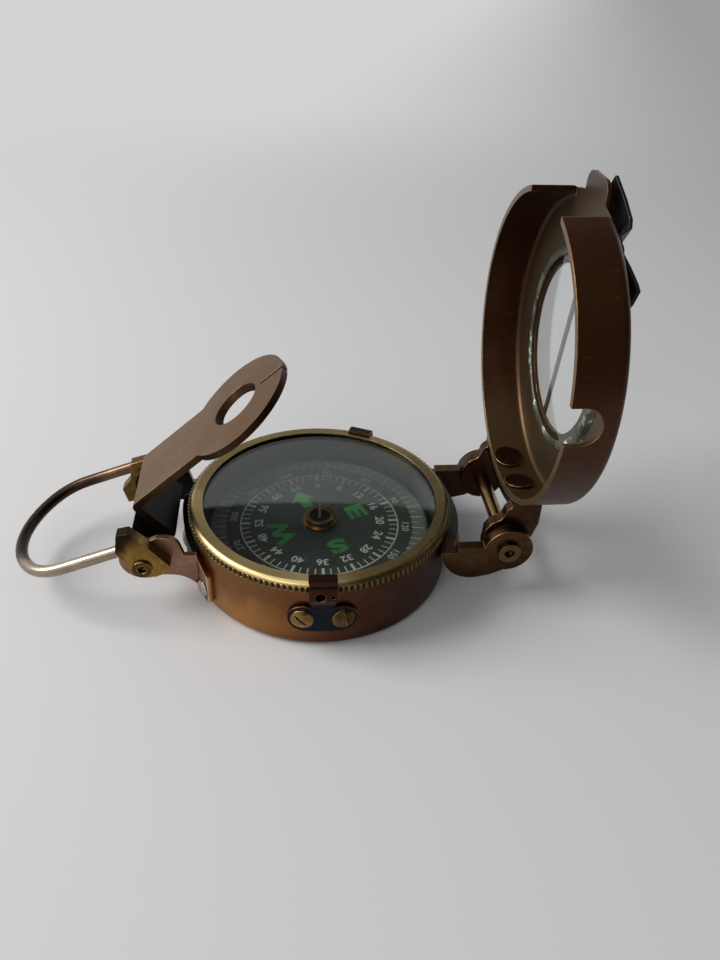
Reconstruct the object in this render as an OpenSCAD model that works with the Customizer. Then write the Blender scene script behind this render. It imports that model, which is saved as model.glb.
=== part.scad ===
// Folding pocket compass: a round brass case with a turning glazed bezel, a hinged
// lid with a sighting window, a folding eye arm and a wire thumb loop.
// Origin at the centre of the case's flat bottom, +X towards the lid hinge, +Z up.
// The lid stands open and the eye arm is raised, as the compass is used.

/* [Case] */
// Outside radius of the case
case_r = 28.2; // [26:0.1:32]
// Height of the case wall
case_h = 14.6; // [13.6:0.1:18]
// Wall beside the dial
case_wall = 2.6; // [2:0.1:3]
// Thickness of the floor
case_floor = 1.2; // [0.8:0.1:1.6]
// Radius of the bottom edge
case_corner = 1.6; // [0.8:0.1:2]
// Depth of the counterbore that the bezel turns in
seat_depth = 2.4; // [1.8:0.1:3]
// Wall beside that counterbore
seat_wall = 1.2; // [0.9:0.1:1.5]

/* [Bezel] */
// How far the bezel stands out past the case
bezel_over = 0.3; // [0.1:0.05:0.5]
// Height of the bezel above the case
bezel_h = 1.97; // [1.8:0.01:2.4]
// Radius of the bezel's top edge
bezel_round = 1.04; // [0.6:0.02:1.2]
// Width of the bezel's top face and lip
bezel_w = 3.2; // [2.8:0.1:3.8]
// Thickness of the lip over the glass
bezel_lip = 0.55; // [0.4:0.05:0.7]
// Teeth of the milled edge
knurl_count = 150; // [60:1:160]
// Depth of the milling
knurl_depth = 0.38; // [0.2:0.02:0.5]
// Thickness of the bezel glass
glass_t = 1.1; // [0.8:0.1:1.3]
// Width of the glass rim under the lip
glass_rebate = 0.6; // [0.4:0.1:0.8]

/* [Dial] */
// Drop from the glass to the face of the card
card_drop = 6.3; // [4.4:0.1:7]
// Thickness of the card
card_t = 0.4; // [0.3:0.05:0.6]
// Gap round the card
card_gap = 1.3; // [0.8:0.1:2]
// Radius of the cap's flange
cap_r = 3.7; // [3.4:0.1:4.5]
// Length of the bar magnets
magnet_l = 24; // [16:1:30]
// Width and height of the bar magnets
magnet_w = 1.8; // [1.2:0.1:2]
// Bearing of north on the card, turned from +X
north_bearing = 112; // [0:0.5:359.5]

/* [Eye arm] */
// Angle that the eye arm is raised from flat
sight_raise = 40.9; // [0:0.1:70]
// Sheet thickness of the eye arm
arm_t = 1.5; // [1.2:0.1:1.8]
// Half width of the arm's straight part
arm_half_w = 8.6; // [7.5:0.05:8.7]
// Half length of the round head
head_half_l = 12.6; // [11.5:0.1:13.5]
// Half width of the round head
head_half_w = 13.6; // [13:0.1:15]
// Distance from the bend to the middle of the head
head_reach = 28.7; // [25:0.1:30]
// Radius of the eye hole at the arm's top face
eye_r = 5.5; // [5:0.1:6.6]
// Radius of the eye hole at the arm's underside
eye_low_r = 4.6; // [4:0.1:5]
// Width of the sighting slit
slit_w = 0.7; // [0.4:0.05:1]
// Radius of the hinge pin of the eye arm
sight_pin_r = 1.5; // [1.2:0.05:1.7]
// Distance of that pin from the case
sight_pin_out = 8.4; // [8:0.1:9.2]
// Height of that pin
sight_pin_z = 11.6; // [11:0.1:12.2]

/* [Thumb loop] */
// Diameter of the loop's wire
wire_d = 2.5; // [2:0.1:2.6]
// Half width of the loop, between wire centres
loop_half_w = 14.95; // [14.9:0.05:15.6]
// Straight length of the loop
loop_straight = 11.2; // [8:0.1:20]
// Corner radius of the loop
loop_corner_r = 10.5; // [5:0.1:13]
// Slope of the loop below level
loop_droop = 19.5; // [0:0.5:40]

/* [Lid] */
// Angle that the lid is open
lid_open = 90; // [60:1:110]
// Gap between the bezel and the lid wall
lid_gap = 1.1; // [1:0.05:1.6]
// Wall of the lid
lid_wall = 1.1; // [0.9:0.05:1.3]
// Sheet of the lid's crown
crown_t = 0.7; // [0.6:0.05:1]
// Outer edge radius of the lid
lid_round = 1.7; // [1.2:0.1:2]
// Radius of the lid's clear window, as a share of the case's radius
window_share = 0.592; // [0.5:0.001:0.62]
// Thickness of the lid glass
lid_glass_t = 0.7; // [0.5:0.05:0.9]
// Half width of the gap in the lid's rim
rim_cut_half_w = 9.2; // [9.1:0.05:10]
// Distance of the lid hinge from the lid's wall
hinge_out = 8.3; // [8:0.1:9]
// Radius of the lid's hinge pin
lid_pin_r = 1.6; // [1.3:0.05:1.8]
// Turn of the sight line in the window
sight_line_skew = 8; // [0:0.5:12]

/* [Hidden] */
$fn = 96;

// Fits and clearances
overrun = 1;
contact_gap = 0.02;
fixed_gap = 0.02;
running_gap = 0.05;
turning_gap = 0.1;
spigot_gap = 0.15;
plate_gap = 0.3;
lid_edge_gap = 0.4;
arc_steps = 8;
eye_steps = 30;
ease_share = 0.25;

// Case and bezel, worked out
seat_r = case_r - seat_wall;
seat_z = case_h - seat_depth;
bore_r = case_r - case_wall;
bezel_r = case_r + bezel_over;
bezel_z = case_h + turning_gap;
bezel_top = bezel_z + bezel_h;
lip_r = bezel_r - bezel_w;
glass_r = lip_r + glass_rebate;
glass_top = bezel_top - bezel_lip;
glass_low = glass_top - glass_t;
spigot_r = seat_r - spigot_gap;
spigot_in_r = glass_r + contact_gap;
retainer_h = 0.5;
retainer_w = 0.8;
tooth_band = bezel_h - 0.7 * bezel_round;

// Dial, worked out
card_r = bore_r - card_gap;
card_top = glass_low - card_drop;
card_low = card_top - card_t;
cap_spigot_r = 2.4;
cap_spigot_drop = 0.5;
cap_flange_h = 0.7;
cap_step_r = cap_r - 0.5;
cap_step_h = 1.3;
cap_hollow_r = cap_r - 1.3;
cap_hollow_d = 0.6;
cap_post_r = 0.3;
cap_post_h = 2.9;
jewel_r = 1.55;
jewel_h = 0.9;
jewel_cup_r = 0.9;
jewel_cup_tip_r = 0.12;
jewel_cup_h = 0.65;
jewel_z = card_top + cap_flange_h - jewel_h / 3;
post_base_r = 3.5;
post_base_h = 0.9;
post_r = 1.3;
post_top = card_low - magnet_w + jewel_h / 6;
needle_r = 0.4;
needle_root = 1.2;
needle_tip_r = 0.06;
needle_cone = 1.4;
needle_gap = 0.08;
magnet_offset = 5.5;

// Clips that hold the bezel down
clip_t = 0.8;
clip_az = -91.8;
clip_tab_w = 5.6;
clip_stem_w = 4.4;
clip_out_r = bezel_r + plate_gap + clip_t;
clip_z = bezel_top + turning_gap;
clip_tip_r = lip_r + 1.1 * clip_t;
clip_bend = clip_t;
clip_foot_low = 4.9;
clip_foot_high = 11.5;
clip_foot_z = (clip_foot_low + clip_foot_high) / 2;
clip_foot_half_w = 7;
clip_jog = 1.1;
clip_jog_z = case_h - clip_jog;
clip_window_r = 1.05;
clip_dot_r = 0.45;
rear_clip_t = 0.5;
rear_clip_az = 66;
rear_clip_gap = 0.22;
rear_clip_w = 5.4;
rear_clip_foot_low = 4;

// Fasteners
screw_head_r = 2.3;
screw_head_h = 0.9;
screw_shank_r = 0.8;
screw_dome_r = 4;
screw_slot_w = 0.6;
screw_slot_d = 0.5;
clip_screw_y = 4.06;
clip_screw_spread = asin(clip_screw_y / (case_r + clip_t));
clip_screw_turns = [45, 8];
rivet_head_r = 1.9;
rivet_head_h = 0.75;
rivet_dome_r = 3;
rivet_shank_r = 0.9;

// Hinge of the eye arm
sight_pin_x = -(case_r + sight_pin_out);
sight_eye_r = 5;
sight_eye_start = 290;
sight_eye_end = 72;
bracket_t = 1.3;
bracket_half_w = 13.5;
bracket_in_half_w = bracket_half_w - bracket_t;
bracket_tab_w = 3.84;
bracket_r = case_r + bracket_t;
bracket_span = asin((bracket_half_w + bracket_tab_w) / bracket_r);
bracket_reach = 14.1;
bracket_rivet_az = 180 - asin((bracket_half_w + bracket_tab_w / 2) / bracket_r);
bracket_rivet_z = 5;
bracket_screw_z = 6.2;
lid_in_r = bezel_r + lid_gap;
lid_r = lid_in_r + lid_wall;
lid_overlap = 2;
lid_edge = case_h - lid_overlap;
under_lid = lid_edge - lid_edge_gap;

// Eye arm, laid flat
arm_lift = 2.23;
arm_low = bezel_top + arm_lift;
arm_top = arm_low + arm_t;
leg_gap = 1.92;
leg_in_x = -(bezel_r + leg_gap);
leg_out_x = leg_in_x - arm_t;
leg_foot_z = sight_pin_z - 1.5 * sight_pin_r;
foot_sweep_r = norm([leg_in_x - sight_pin_x, leg_foot_z - sight_pin_z]) + turning_gap;
cheek_t = 1.35;
cheek_r = 3.6;
arm_corner_r = 1.4;
slit_gap = 1.3;
slit_start = eye_r + slit_gap;
eye_flare = (eye_r - eye_low_r) * overrun / arm_t;
spacer_r = 2.5;
pin_head_r = 2.05;
pin_head_h = 0.4;
pin_cup_r = 0.9;
pin_cup_d = 1.2;

// Lugs and root of the thumb loop
lug_t = wire_d;
lug_in_half_w = loop_half_w - lug_t / 2;
lug_reach = 8.2;
near_lug_shares = [[-0.58, 0.52], [-0.5, 1.04], [-0.22, 1.1], [0.09, 0.79], [0.4, 0.38], [0.68, 0.02],
                   [0.58, -0.16], [0.33, -0.28], [0.01, -0.3], [-0.15, -0.24]];
far_lug_shares = [[-1.02, -0.25], [-0.76, 0.08], [-0.7, 0.6], [-0.3, 0.72], [0.09, 0.6], [0.45, 0.3],
                  [0.68, 0.02], [0.33, -0.28], [-0.2, -0.55], [-0.91, -0.7]];
wire_r = wire_d / 2;
loop_root = [-5.46, 3.37];
loop_root_in = 3;
loop_end_angle = 44;
wire_sides = 20;

// Lid, shut
crown_gap = 1;
crown_low = arm_top + crown_gap;
lid_top = crown_low + crown_t;
lid_fillet = 1;
window_r = case_r * window_share;
lid_glass_margin = 2.5;
lid_glass_r = window_r + lid_glass_margin;
cement_w = 1.4;
cement_over = 0.9;
cement_t = 0.22;
notch_half_w = 3.65;
notch_h = 6.1;
notch_top = lid_edge + notch_h;
tab_half_w = 5.25;
tab_out = 3;
tab_corner_r = 2.6;
sight_line_w = 1.6;
sight_line_t = 0.25;

// Lid hinge
lid_pin_x = lid_r + hinge_out;
lid_pin_z = lid_edge - 0.5 * lid_edge_gap;
base_t = 2.4;
base_half_w = 15.4;
base_in_half_w = base_half_w - base_t;
base_eye_r = 5.2;
base_reach = 14.4;
base_rise = 0.9;
base_web_r = case_r + base_t;
base_rivet_y = 6;
base_rivet_z = 8.2;
strap_t = 1.8;
strap_half_w = base_in_half_w - plate_gap;
strap_ear_t = 2.4;
strap_in_half_w = strap_half_w - strap_ear_t;
strap_eye_r = 5;
strap_h = 6.1;
strap_rivet_y = 4.8;
strap_rivet_rise = 3.1;
strap_rivet_z = lid_edge + strap_rivet_rise;
strap_rivet_r = 1.5;
strap_rivet_head_r = 3.1;
strap_rivet_head_t = 0.55;
lid_pin_head_r = 2.4;
lid_pin_head_h = 0.9;
lid_pin_cup_r = 1.1;

// Catch spring on the lid
catch_turn = 127.2;
catch_t = 0.6;
catch_inset = 10.3;
catch_in = lid_r - catch_inset;
catch_w = 8;
catch_l = 25;
catch_foot = 6;
catch_rise = 2.5;
catch_rivet_r = 0.8;
catch_rivet_head_r = 1.5;
catch_rivet_head_h = 0.5;
catch_rivet_l_share = 0.45;
catch_rivet_w_shares = [0.28, 0.72];
catch_shares = [[0, 0], [0.1, 0.68], [0.16, 0.62], [0.28, 0.32], [0.38, 0], [0.52, 0],
                [0.58, 0.85], [0.65, 1], [0.8, 0.86], [1, 0.52]];

// A line through points with its corners cut back, round after round
function eased(p, rounds = 2) = rounds == 0 ? p : eased(concat(
    [p[0]],
    [for (i = [0:len(p) - 2]) each [p[i] * (1 - ease_share) + p[i + 1] * ease_share,
                                    p[i] * ease_share + p[i + 1] * (1 - ease_share)]],
    [p[len(p) - 1]]
), rounds - 1);

// Points of an arc about c, from angle a0 to a1
function arc_points(c, r, a0, a1, steps = arc_steps) =
    [for (i = [0:steps]) let (a = a0 + (a1 - a0) * i / steps) c + r * [cos(a), sin(a)]];

// A plate cut to a side view (x, z), between y0 and y1
module side_plate(y0, y1) {
    translate([0, y1, 0]) rotate([90, 0, 0]) linear_extrude(y1 - y0) children();
}

// A prism that points outwards at azimuth az, its outline in (across, z)
module radial_prism(az, r0, r1) {
    rotate([0, 0, az]) translate([r0, 0, 0]) rotate([90, 0, 90]) linear_extrude(r1 - r0) children();
}

// Something built along +X, turned to azimuth az at height z
module radial(az, z) {
    rotate([0, 0, az]) translate([0, 0, z]) rotate([0, 90, 0]) children();
}

module both_sides() {
    children();
    mirror([0, 1, 0]) children();
}

module tube(r_out, r_in, h) {
    difference() {
        cylinder(r = r_out, h = h);
        translate([0, 0, -overrun]) cylinder(r = r_in, h = h + 2 * overrun);
    }
}

// A curved plate centred on azimuth az
module curved_plate(az, half_span, r_in, r_out, z0, z1) {
    rotate([0, 0, az - half_span]) rotate_extrude(angle = 2 * half_span)
        translate([r_in, z0]) square([r_out - r_in, z1 - z0]);
}

// A bore along Y
module cross_bore(x, z, r, half_l) {
    translate([x, half_l, z]) rotate([90, 0, 0]) cylinder(r = r, h = 2 * half_l);
}

// A domed head on its seat plane, with a shank below
module domed_fastener(head_r, head_h, dome_r, shank_r, shank_l) {
    intersection() {
        cylinder(r = head_r, h = head_h);
        translate([0, 0, head_h - dome_r]) sphere(r = dome_r);
    }
    translate([0, 0, -shank_l]) cylinder(r = shank_r, h = shank_l + head_h / 2);
}

module slotted_screw(turn, shank_l) {
    difference() {
        domed_fastener(screw_head_r, screw_head_h, screw_dome_r, screw_shank_r, shank_l);
        rotate([0, 0, turn])
            translate([-screw_head_r - overrun, -screw_slot_w / 2, screw_head_h - screw_slot_d])
                cube([2 * (screw_head_r + overrun), screw_slot_w, screw_slot_d + overrun]);
    }
}

module rivet(shank_l) {
    domed_fastener(rivet_head_r, rivet_head_h, rivet_dome_r, rivet_shank_r, shank_l);
}

// Case

module case_cup() {
    color("saddlebrown") difference() {
        rotate_extrude() polygon(concat(
            [[0, 0]],
            arc_points([case_r - case_corner, case_corner], case_corner, -90, 0),
            [[case_r, case_h], [seat_r, case_h], [seat_r, seat_z], [bore_r, seat_z],
             [bore_r, case_floor], [0, case_floor]]
        ));
        for (side = [-1, 1]) wall_hole(clip_az + side * clip_screw_spread, clip_foot_z, screw_shank_r);
        wall_hole(rear_clip_az, rear_clip_foot_low + rear_clip_w / 2, screw_shank_r);
        for (side = [-1, 1]) wall_hole(side * bracket_rivet_az, bracket_rivet_z, rivet_shank_r);
        wall_hole(180, bracket_screw_z, screw_shank_r);
        for (side = [-1, 1]) wall_hole(side * base_rivet_az(), base_rivet_z, rivet_shank_r);
    }
}

module wall_hole(az, z, r) {
    radial(az, z) translate([0, 0, bore_r - overrun])
        cylinder(r = r + fixed_gap, h = case_wall + 2 * overrun);
}

function base_rivet_az() = asin(base_rivet_y / base_web_r);

module pivot_post() {
    color("goldenrod") difference() {
        union() {
            translate([0, 0, case_floor]) cylinder(r = post_base_r, h = post_base_h);
            translate([0, 0, case_floor]) cylinder(r = post_r, h = post_top - case_floor);
        }
        translate([0, 0, post_top - needle_root])
            cylinder(r = needle_r + fixed_gap, h = needle_root + overrun);
    }
}

module pivot_needle() {
    tip_z = jewel_z + jewel_cup_h - needle_gap;
    color("silver") {
        translate([0, 0, post_top - needle_root])
            cylinder(r = needle_r, h = tip_z - needle_cone - post_top + needle_root);
        translate([0, 0, tip_z - needle_cone]) cylinder(r1 = needle_r, r2 = needle_tip_r, h = needle_cone);
    }
}

// Dial, which turns on the pivot

module dial_card() {
    color("darkslategray") translate([0, 0, card_low]) tube(card_r, cap_spigot_r + fixed_gap, card_t);
}

module dial_cap() {
    low = card_low - cap_spigot_drop;
    color("goldenrod") difference() {
        union() {
            translate([0, 0, low]) cylinder(r = cap_spigot_r, h = card_top - low);
            translate([0, 0, card_top]) cylinder(r = cap_r, h = cap_flange_h);
            translate([0, 0, card_top]) difference() {
                cylinder(r = cap_step_r, h = cap_flange_h + cap_step_h);
                translate([0, 0, cap_flange_h + cap_step_h - cap_hollow_d])
                    cylinder(r = cap_hollow_r, h = cap_hollow_d + overrun);
            }
            translate([0, 0, card_top + cap_flange_h])
                cylinder(r = cap_post_r, h = cap_step_h + cap_post_h);
        }
        translate([0, 0, low - overrun])
            cylinder(r = jewel_r + fixed_gap, h = jewel_z + jewel_h - low + overrun);
    }
}

module dial_cap_jewel() {
    color("crimson") difference() {
        translate([0, 0, jewel_z]) cylinder(r = jewel_r, h = jewel_h);
        translate([0, 0, jewel_z]) cylinder(r1 = jewel_cup_r, r2 = jewel_cup_tip_r, h = jewel_cup_h);
    }
}

module dial_magnets() {
    color("dimgray") rotate([0, 0, north_bearing]) both_sides()
        translate([-magnet_l / 2, magnet_offset - magnet_w / 2, card_low - magnet_w])
            cube([magnet_l, magnet_w, magnet_w]);
}

// Bezel, which turns in the counterbore of the case

module bezel_ring() {
    core_r = bezel_r - knurl_depth;
    color("darkkhaki") {
        rotate_extrude() polygon(concat(
            [[spigot_in_r, seat_z + turning_gap], [spigot_r, seat_z + turning_gap],
             [spigot_r, bezel_z + tooth_band / 2], [core_r, bezel_z + tooth_band / 2]],
            arc_points([core_r - bezel_round, bezel_top - bezel_round], bezel_round, 0, 90),
            [[lip_r, bezel_top], [lip_r, glass_top], [spigot_in_r, glass_top]]
        ));
        translate([0, 0, bezel_z]) linear_extrude(tooth_band) difference() {
            polygon([for (i = [0:2 * knurl_count - 1])
                (bezel_r - (i % 2) * (knurl_depth - contact_gap))
                * [cos(180 * i / knurl_count), sin(180 * i / knurl_count)]]);
            circle(r = (spigot_in_r + spigot_r) / 2);
        }
    }
}

module bezel_glass() {
    color("lightcyan", 0.4) translate([0, 0, glass_low]) cylinder(r = glass_r, h = glass_t);
}

module glass_retaining_ring() {
    color("darkkhaki") translate([0, 0, glass_low - retainer_h]) difference() {
        tube(glass_r, glass_r - retainer_w, retainer_h);
        translate([0, -retainer_w, -overrun])
            cube([glass_r + overrun, 2 * retainer_w, retainer_h + 2 * overrun]);
    }
}

// Side view of a clip strip as [radius, height], from its foot up and over the bezel
function clip_profile(t, out_r, foot_r, low) = [
    [foot_r, low], [foot_r + t, low], [foot_r + t, clip_jog_z - clip_jog], [out_r, clip_jog_z],
    [out_r, clip_z + t - clip_bend], [out_r - clip_bend / 3, clip_z + t - clip_bend / 3],
    [out_r - clip_bend, clip_z + t], [clip_tip_r, clip_z + t], [clip_tip_r, clip_z], [out_r - t, clip_z],
    [out_r - t, clip_jog_z], [foot_r, clip_jog_z - clip_jog]
];

module clip_strip(az, width, profile) {
    rotate([0, 0, az]) rotate([90, 0, 0]) translate([0, 0, -width / 2])
        linear_extrude(width) polygon(profile);
}

module bezel_spring() {
    foot_r = case_r + contact_gap;
    end_r = (clip_foot_high - clip_foot_low) / 2;
    color("sienna") difference() {
        union() {
            intersection() {
                curved_plate(clip_az, 2 * clip_screw_spread, foot_r, foot_r + clip_t,
                    clip_foot_low - overrun, clip_foot_high + overrun);
                radial_prism(clip_az, bore_r, clip_out_r + overrun) {
                    for (side = [-1, 1])
                        translate([side * (clip_foot_half_w - end_r), clip_foot_z]) circle(r = end_r);
                    translate([end_r - clip_foot_half_w, clip_foot_low])
                        square([2 * (clip_foot_half_w - end_r), 2 * end_r]);
                }
            }
            intersection() {
                clip_strip(clip_az, clip_tab_w + overrun,
                    clip_profile(clip_t, clip_out_r, foot_r + turning_gap, clip_foot_high - clip_t));
                radial_prism(clip_az, lip_r - overrun, clip_out_r + overrun) clip_face();
            }
        }
        for (side = [-1, 1]) radial(clip_az + side * clip_screw_spread, clip_foot_z)
            translate([0, 0, case_r - overrun])
                cylinder(r = screw_shank_r + fixed_gap, h = clip_t + 2 * overrun);
        radial_prism(clip_az, bezel_r, clip_out_r + overrun) {
            translate([-clip_window_r / 2, clip_jog_z + clip_window_r]) circle(r = clip_window_r);
            translate([clip_tab_w / 2 - 2 * clip_dot_r, clip_jog_z + clip_window_r]) circle(r = clip_dot_r);
        }
    }
}

// Front view of the strip: a stem that widens to the tab
module clip_face() {
    stem = clip_stem_w / 2;
    tab = clip_tab_w / 2;
    shoulder = clip_jog_z - clip_jog / 2;
    top = clip_z + clip_t;
    polygon([[-stem, clip_foot_z], [stem, clip_foot_z], [stem, shoulder - clip_jog], [tab, shoulder],
             [tab, top + overrun], [-tab, top + overrun], [-tab, shoulder], [-stem, shoulder - clip_jog]]);
}

module bezel_spring_screws() {
    color("gold") for (i = [0, 1])
        radial(clip_az + (2 * i - 1) * clip_screw_spread, clip_foot_z)
            translate([0, 0, case_r + clip_t + contact_gap])
                slotted_screw(clip_screw_turns[i], case_wall + clip_t);
}

module rear_bezel_clip() {
    color("sienna") difference() {
        clip_strip(rear_clip_az, rear_clip_w, clip_profile(rear_clip_t,
            bezel_r + rear_clip_gap + rear_clip_t, case_r + contact_gap, rear_clip_foot_low));
        radial(rear_clip_az, rear_clip_foot_low + rear_clip_w / 2) translate([0, 0, case_r - overrun])
            cylinder(r = screw_shank_r + fixed_gap, h = rear_clip_t + 2 * overrun);
    }
}

module rear_clip_screws() {
    color("gold") radial(rear_clip_az, rear_clip_foot_low + rear_clip_w / 2)
        translate([0, 0, case_r + rear_clip_t + contact_gap])
            slotted_screw(clip_screw_turns[0], case_wall + rear_clip_t);
}

// Hinge of the eye arm and the thumb loop

// Side view of the bracket: strap on the case, then arms that climb to the pin
module bracket_outline() {
    wall_x = -sqrt(pow(lid_r, 2) - pow(bracket_in_half_w, 2)) - plate_gap;
    inner_x = -sqrt(pow(lid_in_r, 2) - pow(bracket_half_w, 2)) + plate_gap;
    upper_shares = [[0.206, 1.474], [0.4, 1.46], [0.5, 1.37], [0.545, 1.2]];
    front_shares = [[0.801, 0.948], [0.901, 0.8], [1, 0.74], [1, 0.19], [0.83, 0.207], [0.695, 0.44],
                    [0.56, 0.569], [0.418, 0.629], [0.199, 0.638]];
    place = function(p) [sight_pin_x + p.x * bracket_reach, p.y * sight_pin_z];
    polygon(concat(
        arc_points([sight_pin_x, sight_pin_z], sight_eye_r, sight_eye_start, sight_eye_end, eye_steps),
        eased(concat([for (p = upper_shares) place(p)], [[wall_x, under_lid]])),
        [[inner_x, under_lid]],
        eased([for (p = front_shares) place(p)])
    ));
}

module sight_bracket() {
    color("sienna") difference() {
        intersection() {
            side_plate(-case_r, case_r) bracket_outline();
            union() {
                curved_plate(180, bracket_span, case_r + contact_gap, bracket_r, 0, lid_top);
                both_sides() translate([-2 * case_r, bracket_in_half_w, 0])
                    cube([1.2 * case_r, bracket_t, lid_top]);
            }
        }
        cylinder(r = case_r + contact_gap, h = lid_top);
        cross_bore(sight_pin_x, sight_pin_z, foot_sweep_r, arm_half_w + 2 * turning_gap);
        cross_bore(sight_pin_x, sight_pin_z, sight_pin_r + fixed_gap, bracket_half_w + overrun);
        for (az = [-bracket_rivet_az, bracket_rivet_az]) radial(az, bracket_rivet_z)
            translate([0, 0, bore_r])
                cylinder(r = rivet_shank_r + fixed_gap, h = case_wall + bracket_t + overrun);
        radial(180, bracket_screw_z) translate([0, 0, bore_r])
            cylinder(r = screw_shank_r + fixed_gap, h = case_wall + bracket_t + overrun);
    }
}

module sight_bracket_rivets() {
    color("peru") for (az = [-bracket_rivet_az, bracket_rivet_az])
        radial(az, bracket_rivet_z) translate([0, 0, bracket_r + contact_gap])
            rivet(case_wall + bracket_t);
}

module sight_bracket_screw() {
    color("gold") radial(180, bracket_screw_z) translate([0, 0, bracket_r + contact_gap])
        slotted_screw(90, case_wall + bracket_t);
}

// A cross pin with a cupped, spread head at each end
module cross_pin(x, z, r, half_l, head_r, head_h, cup_r) {
    difference() {
        union() {
            cross_bore(x, z, r, half_l);
            both_sides() translate([0, half_l - head_h, 0]) cross_bore_at(x, z, head_r, head_h);
        }
        both_sides() translate([0, half_l - pin_cup_d, 0]) cross_bore_at(x, z, cup_r, pin_cup_d + overrun);
    }
}

module cross_bore_at(x, z, r, l) {
    translate([x, l, z]) rotate([90, 0, 0]) cylinder(r = r, h = l);
}

module sight_hinge_pin() {
    color("goldenrod") cross_pin(sight_pin_x, sight_pin_z, sight_pin_r,
        lug_in_half_w + lug_t + running_gap + pin_head_h, pin_head_r, pin_head_h, pin_cup_r);
}

module sight_hinge_spacers() {
    start = arm_half_w + turning_gap;
    color("peru") both_sides() difference() {
        translate([0, start, 0])
            cross_bore_at(sight_pin_x, sight_pin_z, spacer_r, bracket_in_half_w - start - contact_gap);
        cross_bore(sight_pin_x, sight_pin_z, sight_pin_r + fixed_gap, bracket_half_w);
    }
}

// Eye arm

// Direction, seen from c, in which a tangent from p touches the circle of radius r about c
function tangent_angle(p, c, r, side) =
    let (d = p - c) atan2(d.y, d.x) + side * acos(r / norm(d));

module cheek_outline() {
    pin = [sight_pin_x, sight_pin_z];
    top = [leg_out_x, arm_low];
    foot = [leg_in_x, leg_foot_z];
    polygon(concat(
        [top, [leg_in_x, arm_low], foot],
        arc_points(pin, cheek_r, tangent_angle(foot, pin, cheek_r, -1) + 360,
                   tangent_angle(top, pin, cheek_r, 1), eye_steps)
    ));
}

// Plan of the arm from its bend to its tip
module arm_plan() {
    translate([0, -arm_half_w]) square([head_reach, 2 * arm_half_w]);
    translate([head_reach, 0]) polygon([for (a = [0:6:354]) [head_half_l * cos(a), head_half_w * sin(a)]]);
}

module sight_arm_flat() {
    bend = [leg_out_x + arm_corner_r, arm_top - arm_corner_r];
    difference() {
        union() {
            intersection() {
                translate([leg_out_x, 0, arm_low]) linear_extrude(arm_t) arm_plan();
                side_plate(-head_half_w, head_half_w) polygon(concat(
                    [[leg_out_x, arm_low], [leg_out_x - leg_in_x + lid_r * 2, arm_low],
                     [leg_out_x - leg_in_x + lid_r * 2, arm_top]],
                    arc_points(bend, arm_corner_r, 90, 180)
                ));
            }
            translate([leg_out_x, -arm_half_w, leg_foot_z])
                cube([arm_t, 2 * arm_half_w, arm_low - leg_foot_z]);
            both_sides() side_plate(arm_half_w - cheek_t, arm_half_w) cheek_outline();
        }
        cross_bore(sight_pin_x, sight_pin_z, sight_pin_r + running_gap, arm_half_w + overrun);
        translate([leg_out_x + head_reach, 0, arm_low - overrun])
            cylinder(r1 = eye_low_r - eye_flare, r2 = eye_r + eye_flare, h = arm_t + 2 * overrun);
        translate([leg_out_x + head_reach + slit_start, -slit_w / 2, arm_low - overrun])
            cube([head_half_l, slit_w, arm_t + 2 * overrun]);
    }
}

module sight_arm() {
    color("rosybrown") translate([sight_pin_x, 0, sight_pin_z]) rotate([0, -sight_raise, 0])
        translate([-sight_pin_x, 0, -sight_pin_z]) sight_arm_flat();
}

// Thumb loop

// Both lugs, out to spare beyond their faces; the far one hangs lower
module lug_plates(spare) {
    translate([sight_pin_x, 0, sight_pin_z]) {
        side_plate(lug_in_half_w - spare, lug_in_half_w + lug_t + spare)
            polygon(lug_reach * far_lug_shares);
        mirror([0, 1, 0]) side_plate(lug_in_half_w - spare, lug_in_half_w + lug_t + spare)
            polygon(lug_reach * near_lug_shares);
    }
}

module thumb_loop_lugs() {
    color("gold") difference() {
        lug_plates(0);
        cross_bore(sight_pin_x, sight_pin_z, sight_pin_r + running_gap, loop_half_w + lug_t);
    }
}

// Stations [centre of the wire, angle of its outer side] along an arc about c
function wire_arc(c, r, a0, a1, steps) =
    [for (i = [0:steps]) let (a = a0 + (a1 - a0) * i / steps) [c + r * [cos(a), sin(a)], a]];

// A round wire through stations, as rings of wire_sides points
module wire(stations) {
    n = len(stations);
    points = [for (s = stations) for (j = [0:wire_sides - 1]) let (t = 360 * j / wire_sides)
        [s[0].x + wire_r * cos(t) * cos(s[1]), s[0].y + wire_r * cos(t) * sin(s[1]), wire_r * sin(t)]];
    sides = [for (k = [0:n - 2]) for (j = [0:wire_sides - 1])
        let (a = k * wire_sides + j, b = k * wire_sides + (j + 1) % wire_sides)
        each [[a, b, b + wire_sides], [a, b + wire_sides, a + wire_sides]]];
    start_cap = [for (j = [wire_sides - 1:-1:0]) j];
    end_cap = [for (j = [0:wire_sides - 1]) (n - 1) * wire_sides + j];
    polyhedron(points, concat([start_cap], sides, [end_cap]));
}

module thumb_loop() {
    corner = [loop_straight, loop_half_w - loop_corner_r];
    back = corner.y / sin(loop_end_angle);
    end_c = [loop_straight - back * cos(loop_end_angle), 0];
    half = concat(
        [[[-loop_root_in, loop_half_w], 90]],
        wire_arc(corner, loop_corner_r, 90, loop_end_angle, arc_steps)
    );
    end = wire_arc(end_c, loop_corner_r + back, loop_end_angle, -loop_end_angle, 2 * arc_steps);
    middle = [for (i = [1:2 * arc_steps - 1]) end[i]];
    last = len(half) - 1;
    other = [for (i = [last:-1:0]) [[half[i][0].x, -half[i][0].y], -half[i][1]]];
    color("peru") difference() {
        translate([sight_pin_x + loop_root.x, 0, sight_pin_z + loop_root.y]) rotate([0, 180 - loop_droop, 0])
            wire(concat(half, middle, other));
        lug_plates(overrun);
    }
}

// Lid hinge

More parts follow.
